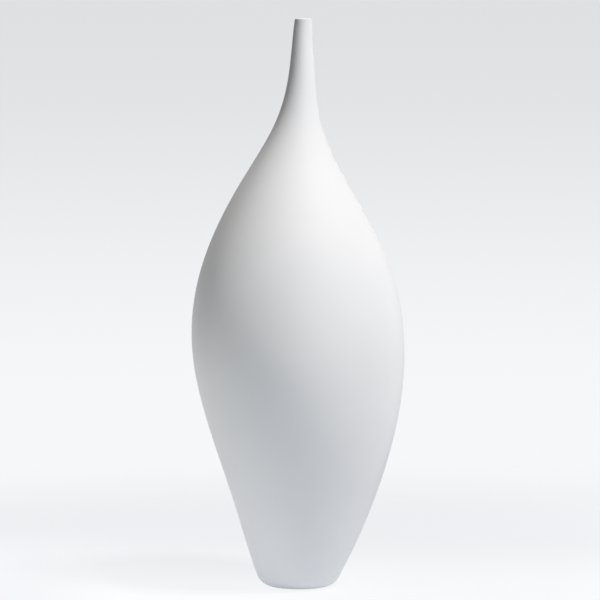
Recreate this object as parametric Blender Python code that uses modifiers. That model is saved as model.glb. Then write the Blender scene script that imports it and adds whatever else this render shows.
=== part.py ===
"""Bottle vase: a cast ceramic body with its neck, a disc that closes its pour hole, and four bumper feet."""
import math

import bpy
import numpy as np

MM = 0.001

# The outside of the body, from the foot up to the mouth: how far each station stands above the one before,
# and its radius. The floor is z = 0, and the middle of the belly stands over the origin.
FOOT_RADIUS = 36.6 * MM
FLANK_RISE = 91.0 * MM
FLANK_RADIUS = 71.7 * MM
BELLY_RISE = 152.6 * MM
BELLY_RADIUS = 104.8 * MM
SHOULDER_RISE = 86.0 * MM
SHOULDER_RADIUS = 88.0 * MM
SLOPE_RISE = 70.0 * MM
SLOPE_RADIUS = 52.3 * MM
NECK_ROOT_RISE = 60.0 * MM
NECK_ROOT_RADIUS = 21.9 * MM
NECK_RISE = 43.0 * MM
NECK_RADIUS = 13.1 * MM
MOUTH_RISE = 57.0 * MM
MOUTH_RADIUS = 8.8 * MM

# How fast the outside opens outwards, per unit of height, as it leaves the foot and as it meets the mouth.
FOOT_FLARE = 0.46
MOUTH_FLARE = -0.055

# How far the middle of each station stands to the side of the belly's middle: the vase isn't quite straight.
# The rates are the sideways move per unit of height at the foot and at the mouth.
FOOT_LEAN = -0.4 * MM
FLANK_LEAN = 5.7 * MM
SHOULDER_LEAN = -2.5 * MM
SLOPE_LEAN = -3.9 * MM
NECK_ROOT_LEAN = 0.3 * MM
NECK_LEAN = 3.6 * MM
MOUTH_LEAN = 5.8 * MM
FOOT_LEAN_RATE = 0.09
MOUTH_LEAN_RATE = 0.09

# The wall up to the belly, and the bore at the mouth.
WALL = 5.0 * MM
BORE_RADIUS = 5.0 * MM

# Roundings of the cast body.
LIP_ROUND = 1.5 * MM
FOOT_ROUND = 15.0 * MM
FLOOR_ROUND = 9.0 * MM
RING_ROUND = 0.6 * MM

# The gap left for glue or luting slip between pieces that touch.
CLEARANCE = 0.3 * MM

# The floor of the body, the flat ring under it, its pour hole and the disc that closes it.
FLOOR_THICKNESS = 8.5 * MM
RING_WIDTH = 6.0 * MM
DISC_THICKNESS = 4.0 * MM
DISC_EDGE = 0.5 * MM
LEDGE_WIDTH = 4.0 * MM

# Bumper feet, which stand under the disc and hold the ring just off the floor: FOOT_Z is the ring's height.
BUMPER_COUNT = 4
BUMPER_RADIUS = 4.0 * MM
BUMPER_HEIGHT = 1.4 * MM
BUMPER_EDGE = 0.4 * MM
BUMPER_MARGIN = 1.2 * MM
FOOT_Z = 0.4 * MM

# How finely the round shapes are cut.
BODY_SEGMENTS = 48
BUMPER_SEGMENTS = 32
OUTER_ROWS = 30
INNER_ROWS = 24
ROUND_STEPS = 5
EDGE_STEPS = 2
MERGE_DISTANCE = 0.05 * MM
SHARP_ANGLE = math.radians(40)

# Heights and radii that follow from the sizes above.
FLANK_Z = FOOT_Z + FLANK_RISE
BELLY_Z = FLANK_Z + BELLY_RISE
SHOULDER_Z = BELLY_Z + SHOULDER_RISE
SLOPE_Z = SHOULDER_Z + SLOPE_RISE
NECK_ROOT_Z = SLOPE_Z + NECK_ROOT_RISE
NECK_Z = NECK_ROOT_Z + NECK_RISE
MOUTH_Z = NECK_Z + MOUTH_RISE
INNER_FLOOR_Z = FOOT_Z + FLOOR_THICKNESS
DISC_Z = BUMPER_HEIGHT + CLEARANCE
LEDGE_Z = DISC_Z + DISC_THICKNESS + CLEARANCE
FOOT_CORNER_ANGLE = math.pi / 2 + math.atan(FOOT_FLARE)
RING_OUTER_RADIUS = FOOT_RADIUS - FOOT_ROUND / math.tan(FOOT_CORNER_ANGLE / 2)
REBATE_RADIUS = RING_OUTER_RADIUS - RING_WIDTH
DISC_RADIUS = REBATE_RADIUS - CLEARANCE
BUMPER_CIRCLE = DISC_RADIUS - DISC_EDGE - BUMPER_MARGIN - BUMPER_RADIUS
POUR_HOLE_RADIUS = DISC_RADIUS - LEDGE_WIDTH


def smooth_curve(heights, values, first_slope, last_slope):
    """A curve through the values with no sudden change of bend, as a function of height: (value, slope)."""
    z = np.array(heights)
    v = np.array(values)
    rise = np.diff(z)
    last = len(z) - 1
    matrix = np.eye(len(z))
    wanted = np.zeros(len(z))
    wanted[0] = first_slope
    wanted[last] = last_slope
    for i in range(1, last):
        matrix[i, i - 1] = 1 / rise[i - 1]
        matrix[i, i] = 2 / rise[i - 1] + 2 / rise[i]
        matrix[i, i + 1] = 1 / rise[i]
        wanted[i] = 3 * ((v[i] - v[i - 1]) / rise[i - 1] ** 2 + (v[i + 1] - v[i]) / rise[i] ** 2)
    slopes = np.linalg.solve(matrix, wanted)

    def at(height):
        i = min(max(int(np.searchsorted(z, height)) - 1, 0), last - 1)
        t = (height - z[i]) / rise[i]
        climb = v[i + 1] - v[i]
        start = rise[i] * slopes[i]
        finish = rise[i] * slopes[i + 1]
        bend = 3 * climb - 2 * start - finish
        twist = start + finish - 2 * climb
        value = v[i] + start * t + bend * t ** 2 + twist * t ** 3
        slope = (start + 2 * bend * t + 3 * twist * t ** 2) / rise[i]
        return float(value), float(slope)

    return at


def between(low, high, share):
    return low + (high - low) * share


STATIONS = [
    (FOOT_Z, FOOT_RADIUS, FOOT_LEAN),
    (FLANK_Z, FLANK_RADIUS, FLANK_LEAN),
    (BELLY_Z, BELLY_RADIUS, 0.0),
    (SHOULDER_Z, SHOULDER_RADIUS, SHOULDER_LEAN),
    (SLOPE_Z, SLOPE_RADIUS, SLOPE_LEAN),
    (NECK_ROOT_Z, NECK_ROOT_RADIUS, NECK_ROOT_LEAN),
    (NECK_Z, NECK_RADIUS, NECK_LEAN),
    (MOUTH_Z, MOUTH_RADIUS, MOUTH_LEAN),
]
HEIGHTS, RADII, LEANS = zip(*STATIONS)

outer_radius = smooth_curve(HEIGHTS, RADII, FOOT_FLARE, MOUTH_FLARE)
lean = smooth_curve(HEIGHTS, LEANS, FOOT_LEAN_RATE, MOUTH_LEAN_RATE)


def inner_radius(height):
    """The wall is WALL thick, square to its surface, up to the belly, and thins evenly to the mouth."""
    radius, slope = outer_radius(height)
    neckward = max(0.0, (height - BELLY_Z) / (MOUTH_Z - BELLY_Z))
    wall = between(WALL, MOUTH_RADIUS - BORE_RADIUS, neckward)
    return radius - wall * math.sqrt(1 + slope ** 2)


def rounded(corners):
    """The outline through (radius, height, rounding) corners, with an arc in place of each rounded one."""
    outline = []
    for i, (r, z, rounding) in enumerate(corners):
        here = np.array([r, z])
        if rounding == 0:
            outline.append(here)
            continue
        before = np.array(corners[i - 1][:2]) - here
        after = np.array(corners[(i + 1) % len(corners)][:2]) - here
        before /= np.linalg.norm(before)
        after /= np.linalg.norm(after)
        half = math.acos(float(before @ after)) / 2
        middle = (before + after) / np.linalg.norm(before + after)
        centre = here + middle * rounding / math.sin(half)
        sweep = math.pi / 2 - half
        across = np.array([-middle[1], middle[0]])
        if across @ before < 0:
            across = -across
        for step in range(ROUND_STEPS + 1):
            turn = sweep * (1 - 2 * step / ROUND_STEPS)
            outline.append(centre - rounding * (middle * math.cos(turn) - across * math.sin(turn)))
    return outline


def body_outline():
    """The cut face of the body: down its outside from the lip, in under the foot, and up its inside."""
    corners = [(MOUTH_RADIUS, MOUTH_Z, LIP_ROUND)]
    top = MOUTH_Z - 2 * LIP_ROUND
    bottom = FOOT_Z + FOOT_ROUND
    for row in range(OUTER_ROWS):
        z = between(top, bottom, row / (OUTER_ROWS - 1))
        corners.append((outer_radius(z)[0], z, 0))
    corners += [
        (FOOT_RADIUS, FOOT_Z, FOOT_ROUND),
        (REBATE_RADIUS, FOOT_Z, RING_ROUND),
        (REBATE_RADIUS, LEDGE_Z, 0),
        (POUR_HOLE_RADIUS, LEDGE_Z, 0),
        (POUR_HOLE_RADIUS, INNER_FLOOR_Z, 0),
        (inner_radius(INNER_FLOOR_Z), INNER_FLOOR_Z, FLOOR_ROUND),
    ]
    bottom = INNER_FLOOR_Z + FLOOR_ROUND
    for row in range(INNER_ROWS):
        z = between(bottom, top, row / (INNER_ROWS - 1))
        corners.append((inner_radius(z), z, 0))
    corners.append((BORE_RADIUS, MOUTH_Z, LIP_ROUND))
    return rounded(corners)


def material(name, colour, roughness):
    made = bpy.data.materials.new(name)
    made.use_nodes = True
    shader = made.node_tree.nodes["Principled BSDF"]
    shader.inputs["Base Color"].default_value = (*colour, 1)
    shader.inputs["Roughness"].default_value = roughness
    made.diffuse_color = (*colour, 1)
    return made


def turned(name, outline, segments):
    """A closed outline at +X, turned once round Z by a Screw modifier."""
    mesh = bpy.data.meshes.new(name)
    points = [(r, 0, z) for r, z in outline]
    mesh.from_pydata(points, [(i, (i + 1) % len(points)) for i in range(len(points))], [])
    made = bpy.data.objects.new(name, mesh)
    screw = made.modifiers.new("Turn", "SCREW")
    screw.axis = "Z"
    screw.steps = segments
    screw.render_steps = segments
    screw.use_merge_vertices = True
    screw.merge_threshold = MERGE_DISTANCE
    screw.use_smooth_shade = True
    return made


def settled(made):
    """The object with its modifiers worked into its mesh."""
    bpy.context.view_layer.update()
    shape = made.evaluated_get(bpy.context.evaluated_depsgraph_get())
    made.data = bpy.data.meshes.new_from_object(shape)
    made.modifiers.clear()
    return made


def disc(name, radius, thickness, edge, segments, x, y, base):
    """A round flat piece standing on the height base, with its two edges broken."""
    bpy.ops.mesh.primitive_cylinder_add(
        vertices=segments, radius=radius, depth=thickness, location=(x, y, base + thickness / 2)
    )
    made = bpy.context.active_object
    made.name = name
    made.data.name = name
    broken = made.modifiers.new("Broken edges", "BEVEL")
    broken.width = edge
    broken.segments = EDGE_STEPS
    broken.limit_method = "ANGLE"
    made.data.shade_smooth()
    made.data.set_sharp_from_angle(angle=SHARP_ANGLE)
    for holder in list(made.users_collection):
        holder.objects.unlink(made)
    return made


for old in list(bpy.data.objects):
    bpy.data.objects.remove(old, do_unlink=True)

vase = bpy.data.collections.new("bottle_vase")
bpy.context.scene.collection.children.link(vase)

# The body is turned straight, and each height is then moved sideways to where the vase leans. The rebate and
# the pour hole are cut upright, so all of their points move with the foot.
body = turned("vase_body", body_outline(), BODY_SEGMENTS)
vase.objects.link(body)
settled(body)
for corner in body.data.vertices:
    in_foot = corner.co.z < INNER_FLOOR_Z + CLEARANCE and corner.co.xy.length < REBATE_RADIUS + CLEARANCE
    corner.co.x += FOOT_LEAN if in_foot else lean(corner.co.z)[0]
body.data.set_sharp_from_angle(angle=SHARP_ANGLE)
body.data.materials.append(material("satin white glaze", (0.86, 0.86, 0.85), 0.5))

# The disc is pushed up into the rebate from below and luted to the ledge.
base_disc = disc(
    "base_disc", DISC_RADIUS, DISC_THICKNESS, DISC_EDGE, BODY_SEGMENTS, FOOT_LEAN, 0, DISC_Z
)
base_disc.data.materials.append(material("bare clay", (0.78, 0.75, 0.69), 0.85))
vase.objects.link(base_disc)

for number in range(BUMPER_COUNT):
    angle = 2 * math.pi * (number + 0.5) / BUMPER_COUNT
    bumper = disc(
        f"bumper_foot_{number + 1}",
        BUMPER_RADIUS,
        BUMPER_HEIGHT,
        BUMPER_EDGE,
        BUMPER_SEGMENTS,
        FOOT_LEAN + BUMPER_CIRCLE * math.cos(angle),
        BUMPER_CIRCLE * math.sin(angle),
        0,
    )
    bumper.data.materials.append(material(f"pale bumper {number + 1}", (0.72, 0.74, 0.75), 0.5))
    vase.objects.link(bumper)
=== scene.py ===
"""A tall white bottle vase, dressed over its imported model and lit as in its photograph."""
import math

import bmesh
import bpy
import numpy as np
from mathutils import Matrix, Vector, noise


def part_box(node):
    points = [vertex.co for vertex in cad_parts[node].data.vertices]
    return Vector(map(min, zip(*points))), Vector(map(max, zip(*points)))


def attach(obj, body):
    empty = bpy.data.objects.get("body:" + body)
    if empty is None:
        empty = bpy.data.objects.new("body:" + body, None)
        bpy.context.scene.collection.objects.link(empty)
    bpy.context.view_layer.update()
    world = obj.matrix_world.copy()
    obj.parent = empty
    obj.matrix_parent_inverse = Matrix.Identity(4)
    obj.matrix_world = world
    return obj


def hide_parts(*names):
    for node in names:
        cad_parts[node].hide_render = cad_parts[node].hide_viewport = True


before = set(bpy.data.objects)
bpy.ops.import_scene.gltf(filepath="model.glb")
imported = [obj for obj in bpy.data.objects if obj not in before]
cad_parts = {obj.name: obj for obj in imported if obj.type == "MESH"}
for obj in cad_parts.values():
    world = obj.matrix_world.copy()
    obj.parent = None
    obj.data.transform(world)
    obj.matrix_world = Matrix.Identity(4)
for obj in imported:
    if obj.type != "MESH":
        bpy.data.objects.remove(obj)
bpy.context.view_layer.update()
MM = 0.001

# Body. The vessel is white clay, cast in one piece from foot to mouth through a hole in its foot. It is
# sponged smooth and sprayed inside and out with a satin white glaze, which is wiped off its foot ring. The
# sizes are those of the model: height, radius and sideways lean of each station from foot to mouth.
FOOT_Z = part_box("vase_body")[0].z
STATIONS = [
    (FOOT_Z, 36.6 * MM, -0.4 * MM),
    (91.4 * MM, 71.7 * MM, 5.7 * MM),
    (244.0 * MM, 104.8 * MM, 0.0),
    (330.0 * MM, 88.0 * MM, -2.5 * MM),
    (400.0 * MM, 52.3 * MM, -3.9 * MM),
    (460.0 * MM, 21.9 * MM, 0.3 * MM),
    (503.0 * MM, 13.1 * MM, 3.6 * MM),
    (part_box("vase_body")[1].z, 8.8 * MM, 5.8 * MM),
]
HEIGHTS, RADII, LEANS = zip(*STATIONS)
BELLY_Z = HEIGHTS[2]
MOUTH_Z = HEIGHTS[-1]
FOOT_RADIUS = RADII[0]
MOUTH_RADIUS = RADII[-1]
FOOT_LEAN = LEANS[0]
FOOT_FLARE = 0.46
MOUTH_FLARE = -0.055
FOOT_LEAN_RATE = 0.09
MOUTH_LEAN_RATE = 0.09
WALL = 5.0 * MM
BORE_RADIUS = 5.0 * MM
LIP_ROUND = 0.9 * MM
FLOOR_ROUND = 9.0 * MM
RING_ROUND = 0.6 * MM
FLOOR_THICKNESS = 8.5 * MM
INNER_FLOOR_Z = FOOT_Z + FLOOR_THICKNESS
GAP = 0.3 * MM
LEDGE_WIDTH = 4.0 * MM
REBATE_RADIUS = (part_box("base_disc")[1].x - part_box("base_disc")[0].x) / 2 + GAP
LEDGE_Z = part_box("base_disc")[1].z + GAP
POUR_HOLE_RADIUS = REBATE_RADIUS - GAP - LEDGE_WIDTH
# The sponge has taken more off the foot's edge on the left than on the right.
FOOT_ROUND = 15.0 * MM
FOOT_ROUND_SWING = 2.2 * MM
SPONGE_WAVE = 0.05 * MM
SPONGE_SIZE = 45 * MM
BODY_SEGMENTS = 144
OUTER_ROWS = 100
INNER_ROWS = 60
ROUND_STEPS = 9
SHARP_ANGLE = math.radians(40)
SAME_PLACE = 0.0001 * MM


def smooth_curve(heights, values, first_slope, last_slope):
    """A curve through the values with no sudden change of bend, as a function of height: (value, slope)."""
    z = np.array(heights)
    v = np.array(values)
    rise = np.diff(z)
    last = len(z) - 1
    matrix = np.eye(len(z))
    wanted = np.zeros(len(z))
    wanted[0] = first_slope
    wanted[last] = last_slope
    for i in range(1, last):
        matrix[i, i - 1] = 1 / rise[i - 1]
        matrix[i, i] = 2 / rise[i - 1] + 2 / rise[i]
        matrix[i, i + 1] = 1 / rise[i]
        wanted[i] = 3 * ((v[i] - v[i - 1]) / rise[i - 1] ** 2 + (v[i + 1] - v[i]) / rise[i] ** 2)
    slopes = np.linalg.solve(matrix, wanted)

    def at(height):
        i = min(max(int(np.searchsorted(z, height)) - 1, 0), last - 1)
        t = (height - z[i]) / rise[i]
        climb = v[i + 1] - v[i]
        start = rise[i] * slopes[i]
        finish = rise[i] * slopes[i + 1]
        bend = 3 * climb - 2 * start - finish
        twist = start + finish - 2 * climb
        value = v[i] + start * t + bend * t ** 2 + twist * t ** 3
        slope = (start + 2 * bend * t + 3 * twist * t ** 2) / rise[i]
        return float(value), float(slope)

    return at


outer_radius = smooth_curve(HEIGHTS, RADII, FOOT_FLARE, MOUTH_FLARE)
lean = smooth_curve(HEIGHTS, LEANS, FOOT_LEAN_RATE, MOUTH_LEAN_RATE)


def between(low, high, share):
    return low + (high - low) * share


def inner_radius(height):
    """The wall is WALL thick, square to its surface, up to the belly, and thins evenly to the mouth."""
    radius, slope = outer_radius(height)
    neckward = max(0.0, (height - BELLY_Z) / (MOUTH_Z - BELLY_Z))
    wall = between(WALL, MOUTH_RADIUS - BORE_RADIUS, neckward)
    return radius - wall * math.sqrt(1 + slope ** 2)


def rounded(corners):
    """The outline through (radius, height, rounding) corners, with an arc in place of each rounded one."""
    outline = []
    for i, (r, z, rounding) in enumerate(corners):
        here = np.array([r, z])
        if rounding == 0:
            outline.append(here)
            continue
        before = np.array(corners[i - 1][:2]) - here
        after = np.array(corners[(i + 1) % len(corners)][:2]) - here
        before /= np.linalg.norm(before)
        after /= np.linalg.norm(after)
        half = math.acos(float(before @ after)) / 2
        middle = (before + after) / np.linalg.norm(before + after)
        centre = here + middle * rounding / math.sin(half)
        sweep = math.pi / 2 - half
        across = np.array([-middle[1], middle[0]])
        if across @ before < 0:
            across = -across
        for step in range(ROUND_STEPS + 1):
            turn = sweep * (1 - 2 * step / ROUND_STEPS)
            outline.append(centre - rounding * (middle * math.cos(turn) - across * math.sin(turn)))
    return outline


def body_outline(angle):
    """The body cut through at an angle: down the outside from the lip, under the foot and up the inside."""
    foot_round = FOOT_ROUND - FOOT_ROUND_SWING * math.cos(angle)
    corners = [(MOUTH_RADIUS, MOUTH_Z, LIP_ROUND)]
    top = MOUTH_Z - 2 * LIP_ROUND
    bottom = FOOT_Z + FOOT_ROUND + FOOT_ROUND_SWING
    for row in range(OUTER_ROWS):
        z = between(top, bottom, row / (OUTER_ROWS - 1))
        corners.append((outer_radius(z)[0], z, 0))
    corners += [
        (FOOT_RADIUS, FOOT_Z, foot_round),
        (REBATE_RADIUS, FOOT_Z, RING_ROUND),
        (REBATE_RADIUS, LEDGE_Z, 0),
        (POUR_HOLE_RADIUS, LEDGE_Z, 0),
        (POUR_HOLE_RADIUS, INNER_FLOOR_Z, 0),
        (inner_radius(INNER_FLOOR_Z), INNER_FLOOR_Z, FLOOR_ROUND),
    ]
    bottom = INNER_FLOOR_Z + FLOOR_ROUND
    for row in range(INNER_ROWS):
        z = between(bottom, top, row / (INNER_ROWS - 1))
        corners.append((inner_radius(z), z, 0))
    corners.append((BORE_RADIUS, MOUTH_Z, LIP_ROUND))
    return rounded(corners)


def turned(name, outline_at, segments, closed):
    """A mesh turned round Z from the outline at each angle. An open outline begins and ends on the axis."""
    shape = bmesh.new()
    columns = []
    for segment in range(segments):
        angle = 2 * math.pi * segment / segments
        column = []
        for r, z in outline_at(angle):
            column.append(shape.verts.new((r * math.cos(angle), r * math.sin(angle), z)))
        columns.append(column)
    rows = len(columns[0])
    for segment in range(segments):
        here = columns[segment]
        beyond = columns[(segment + 1) % segments]
        for row in range(rows if closed else rows - 1):
            below = (row + 1) % rows
            shape.faces.new((here[row], here[below], beyond[below], beyond[row]))
    if not closed:
        bmesh.ops.remove_doubles(shape, verts=shape.verts, dist=SAME_PLACE)
    bmesh.ops.recalc_face_normals(shape, faces=shape.faces)
    mesh = bpy.data.meshes.new(name)
    shape.to_mesh(mesh)
    shape.free()
    made = bpy.data.objects.new(name, mesh)
    bpy.context.scene.collection.objects.link(made)
    mesh.shade_smooth()
    mesh.set_sharp_from_angle(angle=SHARP_ANGLE)
    return made


body = turned("body", body_outline, BODY_SEGMENTS, closed=True)
for corner in body.data.vertices:
    spot = corner.co.copy()
    out = spot.xy.length
    if spot.z < INNER_FLOOR_Z + GAP and out < REBATE_RADIUS + GAP:
        corner.co.x += FOOT_LEAN
        continue
    swell = SPONGE_WAVE * noise.noise(spot / SPONGE_SIZE)
    corner.co.x += lean(spot.z)[0] + swell * spot.x / out
    corner.co.y += swell * spot.y / out


class Socket:
    """One output of a material's nodes. Sums on it add Math nodes, and node() adds any other node."""

    def __init__(self, tree, output=None):
        self.tree = tree
        self.output = output

    def node(self, kind, settings=None, inputs=None, output=0):
        made = self.tree.nodes.new("ShaderNode" + kind)
        for name, value in (settings or {}).items():
            setattr(made, name, value)
        for name, value in (inputs or {}).items():
            if isinstance(value, Socket):
                self.tree.links.new(value.output, made.inputs[name])
            else:
                made.inputs[name].default_value = value
        return Socket(self.tree, made.outputs[output] if made.outputs else None)

    def sum(self, operation, first, second):
        return self.node("Math", {"operation": operation}, {0: first, 1: second})

    def __add__(self, other):
        return self.sum("ADD", self, other)

    def __sub__(self, other):
        return self.sum("SUBTRACT", self, other)

    def __rsub__(self, other):
        return self.sum("SUBTRACT", other, self)

    def __mul__(self, other):
        return self.sum("MULTIPLY", self, other)

    __radd__ = __add__
    __rmul__ = __mul__

    def ramp(self, start, end):
        """0 below start and 1 above end, with a soft rise between them."""
        return self.node("MapRange", {"interpolation_type": "SMOOTHSTEP"}, {0: self, 1: start, 2: end})

    def mixed(self, low, high):
        """The colour low where this value is 0, and high where it is 1."""
        return self.node("Mix", {"data_type": "RGBA"}, {0: self, 6: low, 7: high}, 2)

    def noise(self, size, detail=2):
        """Cloudy noise from 0 to 1, with blots of about that size, over this place."""
        return self.node("TexNoise", None, {"Vector": self, "Scale": 1 / size, "Detail": detail})

    def height(self):
        return self.node("SeparateXYZ", None, {0: self}, 2)


def colour(r, g, b):
    return (r, g, b, 1.0)


def finish(name, looks):
    """A material whose shader takes the sockets and values that looks(place) gives."""
    made = bpy.data.materials.new(name)
    made.use_nodes = True
    tree = made.node_tree
    shader = tree.nodes["Principled BSDF"]
    place = Socket(tree).node("TexCoord", output="Object")
    for socket, value in looks(place).items():
        if isinstance(value, Socket):
            tree.links.new(value.output, shader.inputs[socket])
        else:
            shader.inputs[socket].default_value = value
    return made


CLAY = colour(0.74, 0.69, 0.61)
CLAY_DARK = colour(0.66, 0.60, 0.52)
GLAZE = colour(0.86, 0.86, 0.855)
GLAZE_THICK = colour(0.835, 0.838, 0.836)
GLAZE_THIN = colour(0.80, 0.775, 0.735)
CLAY_PATCH = 14 * MM
CLAY_GRAIN = 0.7 * MM
GLAZE_CLOUD = 95 * MM
GLAZE_PEEL = 3.2 * MM
GLAZE_SKIN = 0.45 * MM
GLAZE_RELIEF = 0.06 * MM
GLOSS_PATCH = 30 * MM
RAGGED_SIZE = 9 * MM
LIP_BAND = 5 * MM
WIPE_WANDER = 0.9 * MM
WIPE_EDGE = (FOOT_Z + 0.35 * MM, FOOT_Z + 0.75 * MM)
PINHOLE_SPACING = 17 * MM
PINHOLE_SHARE = (0.012, 0.03)


def bare_clay(place):
    """Colour and grain height of fired clay with no glaze: fine, dry and a little uneven."""
    patches = place.noise(CLAY_PATCH, 3)
    grains = place.noise(CLAY_GRAIN)
    return patches.ramp(0.3, 0.75).mixed(CLAY, CLAY_DARK), grains


def satin_glaze(place):
    height = place.height()
    clay, grains = bare_clay(place)
    clouds = place.noise(GLAZE_CLOUD, 3).ramp(0.3, 0.7)
    ragged = place.noise(RAGGED_SIZE, 3)
    lip = height.ramp(MOUTH_Z - LIP_BAND, MOUTH_Z) * ragged.ramp(0.25, 0.7)
    wiped = 1 - (height + (ragged - 0.5) * WIPE_WANDER).ramp(*WIPE_EDGE)
    pinholes = place.node("TexVoronoi", None, {"Vector": place, "Scale": 1 / PINHOLE_SPACING})
    pits = 1 - pinholes.ramp(*PINHOLE_SHARE)
    peel = place.noise(GLAZE_PEEL)
    skin = place.noise(GLAZE_SKIN)
    glaze = clouds.mixed(GLAZE, GLAZE_THICK)
    glaze = (lip * 0.5).mixed(glaze, GLAZE_THIN)
    glaze = (pits * 0.5).mixed(glaze, CLAY)
    gloss = 0.58 + 0.10 * place.noise(GLOSS_PATCH, 3) + 0.05 * skin
    raised = (1 - wiped) * (0.55 + 0.35 * peel + 0.10 * skin - 0.5 * pits) + wiped * 0.25 * grains
    bump = place.node("Bump", None, {"Strength": 0.35, "Distance": GLAZE_RELIEF, "Height": raised})
    return {
        "Base Color": wiped.mixed(glaze, clay),
        "Roughness": gloss + wiped * 0.35,
        "Normal": bump,
        "Specular IOR Level": 0.3,
    }


body.data.materials.append(finish("satin white glaze", satin_glaze))
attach(body, "root")
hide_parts("vase_body")

# Base disc. The hole that the slip was poured through is closed by a disc cut from a slab of the same clay.
# It is pushed up into its rebate from below with wet slip, which squeezes out round it and is sponged down.
DISC_BOTTOM_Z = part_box("base_disc")[0].z
DISC_TOP_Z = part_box("base_disc")[1].z
DISC_SEAT_RADIUS = REBATE_RADIUS - GAP
BEAD_WIDTH = 1.1 * MM
BEAD_HEIGHT = 0.35 * MM
BEAD_STEPS = 8
BEAD_GAP = 0.02 * MM
BEAD_UNEVEN = 0.35
BEAD_LUMPS = 3
DISH = 0.1 * MM
DISC_RINGS = 14
DISC_SEGMENTS = 96
TOP_EDGE = 0.5 * MM
STROKE_SCALE = 240
SMEAR_SIZE = 5 * MM
DISC_RELIEF = 0.12 * MM


def disc_outline(angle):
    """From the middle of the top, out over the edge, round the bead of slip, and in across the underside."""
    round_edge = Vector((BEAD_LUMPS * math.cos(angle), BEAD_LUMPS * math.sin(angle), 0.5))
    uneven = 1 + BEAD_UNEVEN * noise.noise(round_edge)
    bead_rim = REBATE_RADIUS - BEAD_GAP
    outline = [(0, DISC_TOP_Z), (DISC_SEAT_RADIUS - TOP_EDGE, DISC_TOP_Z)]
    outline += [(DISC_SEAT_RADIUS, DISC_TOP_Z - TOP_EDGE), (DISC_SEAT_RADIUS, DISC_BOTTOM_Z + TOP_EDGE)]
    outline.append((bead_rim, DISC_BOTTOM_Z + TOP_EDGE / 2))
    for step in range(BEAD_STEPS + 1):
        share = step / BEAD_STEPS
        fall = BEAD_HEIGHT * uneven * math.sin(math.pi * share)
        outline.append((bead_rim - BEAD_WIDTH * uneven * share, DISC_BOTTOM_Z - fall))
    start = outline[-1][0]
    for ring in range(1, DISC_RINGS):
        out = between(start, 0, ring / (DISC_RINGS - 1))
        outline.append((out, DISC_BOTTOM_Z + DISH * (1 - (out / start) ** 2)))
    return outline


def dry_clay_disc(place):
    clay, grains = bare_clay(place)
    middle = place.node("VectorMath", {"operation": "SUBTRACT"}, {0: place, 1: (FOOT_LEAN, 0, 0)})
    inputs = {"Vector": middle, "Scale": STROKE_SCALE, "Distortion": 1.5, "Detail": 2, "Detail Scale": 1.5}
    strokes = place.node("TexWave", {"wave_type": "RINGS", "rings_direction": "Z"}, inputs)
    smears = place.noise(SMEAR_SIZE, 3)
    raised = 0.4 * strokes + 0.3 * smears + 0.3 * grains
    bump = place.node("Bump", None, {"Strength": 0.5, "Distance": DISC_RELIEF, "Height": raised})
    return {
        "Base Color": (smears.ramp(0.35, 0.8) * 0.35).mixed(clay, CLAY_DARK),
        "Roughness": 0.8 + 0.12 * smears,
        "Normal": bump,
    }


disc = turned("base_disc_luted", disc_outline, DISC_SEGMENTS, closed=False)
disc.data.transform(Matrix.Translation((FOOT_LEAN, 0, 0)))
disc.data.materials.append(finish("dry clay", dry_clay_disc))
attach(disc, "root")
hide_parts("base_disc")

# Bumper feet. Four low buttons of pale, soft rubber, each stuck under the disc by a film of adhesive a
# little smaller than the button. They keep the hard ring just off the table, and scuff to a dull face.
BUMPER_EDGE = 0.55 * MM
FILM_INSET = 0.3 * MM
FILM_GAP = 0.02 * MM
BUMPER_SEGMENTS = 48
RUBBER = colour(0.84, 0.85, 0.86)
RUBBER_GRUBBY = colour(0.72, 0.71, 0.69)
SCUFF_SIZE = 1.6 * MM
RUBBER_GRAIN = 0.25 * MM
RUBBER_RELIEF = 0.04 * MM
GRUBBY_HEIGHT = 0.15 * MM


def pale_rubber(place):
    scuffs = place.noise(SCUFF_SIZE, 3)
    grain = place.noise(RUBBER_GRAIN)
    under = 1 - place.height().ramp(0.0, GRUBBY_HEIGHT)
    grubby = scuffs.ramp(0.35, 0.75) * (0.35 + 0.5 * under)
    raised = 0.6 * scuffs + 0.4 * grain
    bump = place.node("Bump", None, {"Strength": 0.4, "Distance": RUBBER_RELIEF, "Height": raised})
    return {
        "Base Color": grubby.mixed(RUBBER, RUBBER_GRUBBY),
        "Roughness": 0.5 + 0.3 * scuffs,
        "Normal": bump,
    }


bumper_finish = finish("pale rubber", pale_rubber)
for node in sorted(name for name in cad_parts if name.startswith("bumper_foot")):
    low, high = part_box(node)
    bumper_radius = (high.x - low.x) / 2
    film_radius = bumper_radius - FILM_INSET
    film_top = DISC_BOTTOM_Z - FILM_GAP
    # From the middle of the film's top, down its edge to the button, and round under to the middle.
    outline = rounded([
        (0, film_top, 0),
        (film_radius, film_top, 0),
        (film_radius, high.z, 0),
        (bumper_radius, high.z, BUMPER_EDGE / 3),
        (bumper_radius, low.z, BUMPER_EDGE),
        (0, low.z, 0),
    ])
    bumper = turned(node + "_button", lambda angle: outline, BUMPER_SEGMENTS, closed=False)
    middle = (low + high) / 2
    bumper.data.transform(Matrix.Translation((middle.x, middle.y, 0)))
    bumper.data.materials.append(bumper_finish)
    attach(bumper, "root")
    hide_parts(node)

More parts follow.
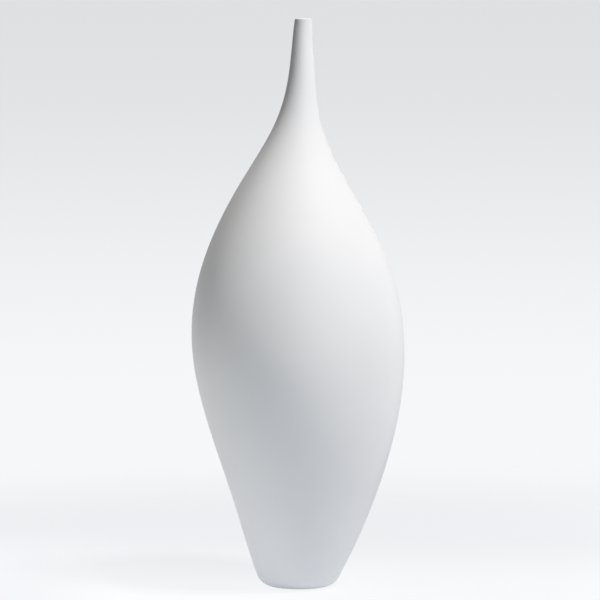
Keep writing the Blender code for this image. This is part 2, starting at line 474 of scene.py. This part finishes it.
# Floor and background. A round white table top that fades out into a pale background as on a white sweep.
# Near the vase the table glows from within, a painted pool of light that lights the lower body from below
# and fills the shade under the foot; farther out it is almost black. What the camera sees of it is paler and
# more even than what lights the vase, keeps the vase's soft shadow, and has painted shade that darkens it
# towards the back and towards the left.
FLOOR_RADIUS = 1.1
FLOOR_SEGMENTS = 96
FLOOR_FADE = (0.45, 0.95)
FLOOR_NEAR = colour(0.36, 0.37, 0.39)
FLOOR_FAR = colour(0.02, 0.02, 0.02)
# Painted light: the colour of the table's glow near the vase, which lights the vase like a lamp.
FLOOR_GLOW = colour(0.31, 0.325, 0.355)
FLOOR_REACH = (0.14, 0.36)
SHADOWED = colour(0.10, 0.101, 0.103)
# Painted shade: the glow that the camera sees on the table is LIFT_FRONT in front and darkens to LIFT_BACK
# towards the back and towards the left, where it evens out the left strip's light on the floor.
LIFT_DEPTH = (-0.10, 0.32)
LIFT_LEFT = (0.16, 0.29)
LIFT_FRONT = colour(0.85, 0.859, 0.868)
LIFT_BACK = colour(0.755, 0.767, 0.79)

floor_outline = [(0, 0), (FLOOR_RADIUS / 2, 0), (FLOOR_RADIUS, 0)]
floor = turned("floor", lambda angle: floor_outline, FLOOR_SEGMENTS, closed=False)
table = bpy.data.materials.new("white table")
table.use_nodes = True
tree = table.node_tree
tree.nodes.clear()
place = Socket(tree).node("TexCoord", output="Object")
camera_ray = place.node("LightPath", output="Is Camera Ray")
out = place.node("VectorMath", {"operation": "LENGTH"}, {0: place}, "Value")
across = place.node("SeparateXYZ", None, {0: place}, 0)
depth = place.node("SeparateXYZ", None, {0: place}, 1)
white = place.node("BsdfDiffuse", None, {"Color": FLOOR_NEAR})
# Painted light: the table near the vase glows and lights the lower body and the foot from below.
painted_glow = place.node("Emission", None, {"Color": FLOOR_GLOW})
near_painted_glow = place.node("AddShader", None, {0: white, 1: painted_glow})
far = place.node("BsdfDiffuse", None, {"Color": FLOOR_FAR})
lighting = place.node("MixShader", None, {0: out.ramp(*FLOOR_REACH), 1: near_painted_glow, 2: far})
shaded = place.node("BsdfDiffuse", None, {"Color": SHADOWED})
front = place.node("Emission", None, {"Color": LIFT_FRONT})
back = place.node("Emission", None, {"Color": LIFT_BACK})
# Painted shade: the glow darkens towards the back and towards the left.
painted_shade = place.sum("MAXIMUM", depth.ramp(*LIFT_DEPTH), (across * -1).ramp(*LIFT_LEFT))
lift = place.node("MixShader", None, {0: painted_shade, 1: front, 2: back})
lifted = place.node("AddShader", None, {0: shaded, 1: lift})
clear = place.node("BsdfTransparent")
faded = place.node("MixShader", None, {0: out.ramp(*FLOOR_FADE), 1: lifted, 2: clear})
shown = place.node("MixShader", None, {0: camera_ray, 1: lighting, 2: faded})
place.node("OutputMaterial", None, {"Surface": shown})
floor.data.materials.append(table)

WORLD_LIGHT = 0.03
WORLD_TINT = colour(0.96, 0.98, 1.0)
# Painted shade: the background is darkest, BACKGROUND_TOP, at and above the horizon and grows paler to
# BACKGROUND_LOW below it.
BACKGROUND_TOP = colour(0.742, 0.748, 0.765)
BACKGROUND_LOW = colour(0.926, 0.933, 0.941)
BACKGROUND_FALL = (0.0, 0.125)

world = bpy.data.worlds.new("pale background")
bpy.context.scene.world = world
world.use_nodes = True
tree = world.node_tree
tree.nodes.clear()
way = Socket(tree).node("TexCoord", output="Generated")
camera_ray = way.node("LightPath", output="Is Camera Ray")
glossy_ray = way.node("LightPath", output="Is Glossy Ray")
clear_ray = way.node("LightPath", output="Is Transmission Ray")
above = way.node("Background", None, {"Color": BACKGROUND_TOP})
below = way.node("Background", None, {"Color": BACKGROUND_LOW})
# Painted shade: the background darkens towards the top.
fall = (way.height() * -1).ramp(*BACKGROUND_FALL)
pale = way.node("MixShader", None, {0: fall, 1: above, 2: below})
dim = way.node("Background", None, {"Color": WORLD_TINT, "Strength": WORLD_LIGHT})
seen = way.sum("MAXIMUM", camera_ray, way.sum("MAXIMUM", glossy_ray, clear_ray))
around = way.node("MixShader", None, {0: seen, 1: dim, 2: pale})
way.node("OutputWorld", None, {"Surface": around})

# Light. Four lamps stand well away, so their light is even from foot to mouth: one high on the right, one
# level and more in front, and two weaker ones behind. A soft spot picks out the neck, and a low white strip
# on each side of the foot lights the lower half from below.
NECK_AIM = Vector((5 * MM, 0, 0.555))
NECK_TOWARD = Vector((0.77, -0.64, 0.0))
NECK_DISTANCE = 1.2
NECK_BEAM = math.radians(12)
NECK_LAMP_RADIUS = 0.06
STRIP_LENGTH = 0.62
STRIP_HEIGHT = 0.04


def lamp_toward(name, kind, toward):
    """A lamp that shines from toward, a direction, to the vase."""
    made = bpy.data.objects.new(name, bpy.data.lights.new(name, kind))
    bpy.context.scene.collection.objects.link(made)
    made.rotation_euler = toward.to_track_quat("Z", "Y").to_euler()
    made.visible_camera = False
    return made


def far_lamp(name, turn, rise, spread, level, tint):
    """A far lamp, turn degrees to the right from the front, rise degrees up and spread degrees across."""
    turn = math.radians(turn)
    rise = math.radians(rise)
    toward = Vector((math.sin(turn) * math.cos(rise), -math.cos(turn) * math.cos(rise), math.sin(rise)))
    lamp = lamp_toward(name, "SUN", toward).data
    lamp.energy = level * math.pi
    lamp.angle = math.radians(spread)
    lamp.color = tint


far_lamp("key", turn=60, rise=61, spread=14, level=0.82, tint=(1.0, 0.96, 0.945))
far_lamp("front", turn=28, rise=0.5, spread=24, level=0.49, tint=(0.90, 0.945, 1.0))
far_lamp("side", turn=132, rise=0.5, spread=24, level=0.17, tint=(0.90, 0.95, 1.0))
far_lamp("behind", turn=-120, rise=60, spread=26, level=0.20, tint=(1.0, 0.98, 0.957))

neck_lamp = lamp_toward("neck", "SPOT", NECK_TOWARD)
neck_lamp.location = NECK_AIM + NECK_TOWARD * NECK_DISTANCE
neck_lamp.data.energy = 6.1
neck_lamp.data.color = (1.0, 0.94, 0.84)
neck_lamp.data.spot_size = NECK_BEAM
neck_lamp.data.spot_blend = 1.0
neck_lamp.data.shadow_soft_size = NECK_LAMP_RADIUS


def low_strip(name, toward, at, power, tint):
    """A long strip of light low beside the vase, lying front to back and facing it."""
    strip = lamp_toward(name, "AREA", toward)
    strip.location = at
    strip.data.shape = "RECTANGLE"
    strip.data.size = STRIP_LENGTH
    strip.data.size_y = STRIP_HEIGHT
    strip.data.energy = power
    strip.data.color = tint


low_strip("left", Vector((-1, 0, 0)), at=(-0.39, -0.06, 0.10), power=0.785, tint=(0.965, 0.985, 1.0))
low_strip("right", Vector((1, 0, 0)), at=(0.42, 0.25, 0.06), power=0.26, tint=(0.95, 0.975, 1.0))

# Camera. It stands well back, a little above the mouth, and looks slightly down with a long lens, so the
# mouth is seen almost edge on and the foot from above.
CAMERA_AT = (2.0 * MM, -3.30, 0.575)
CAMERA_PITCH = math.radians(5.043)
CAMERA_LENS = 201.74
CAMERA_SENSOR = 36

view = bpy.data.cameras.new("photograph")
view.sensor_width = CAMERA_SENSOR
view.lens = CAMERA_LENS
camera = bpy.data.objects.new("photograph", view)
bpy.context.scene.collection.objects.link(camera)
camera.location = CAMERA_AT
camera.rotation_euler = (math.pi / 2 - CAMERA_PITCH, 0, 0)
bpy.context.scene.camera = camera
bpy.context.scene.view_settings.view_transform = "Standard"
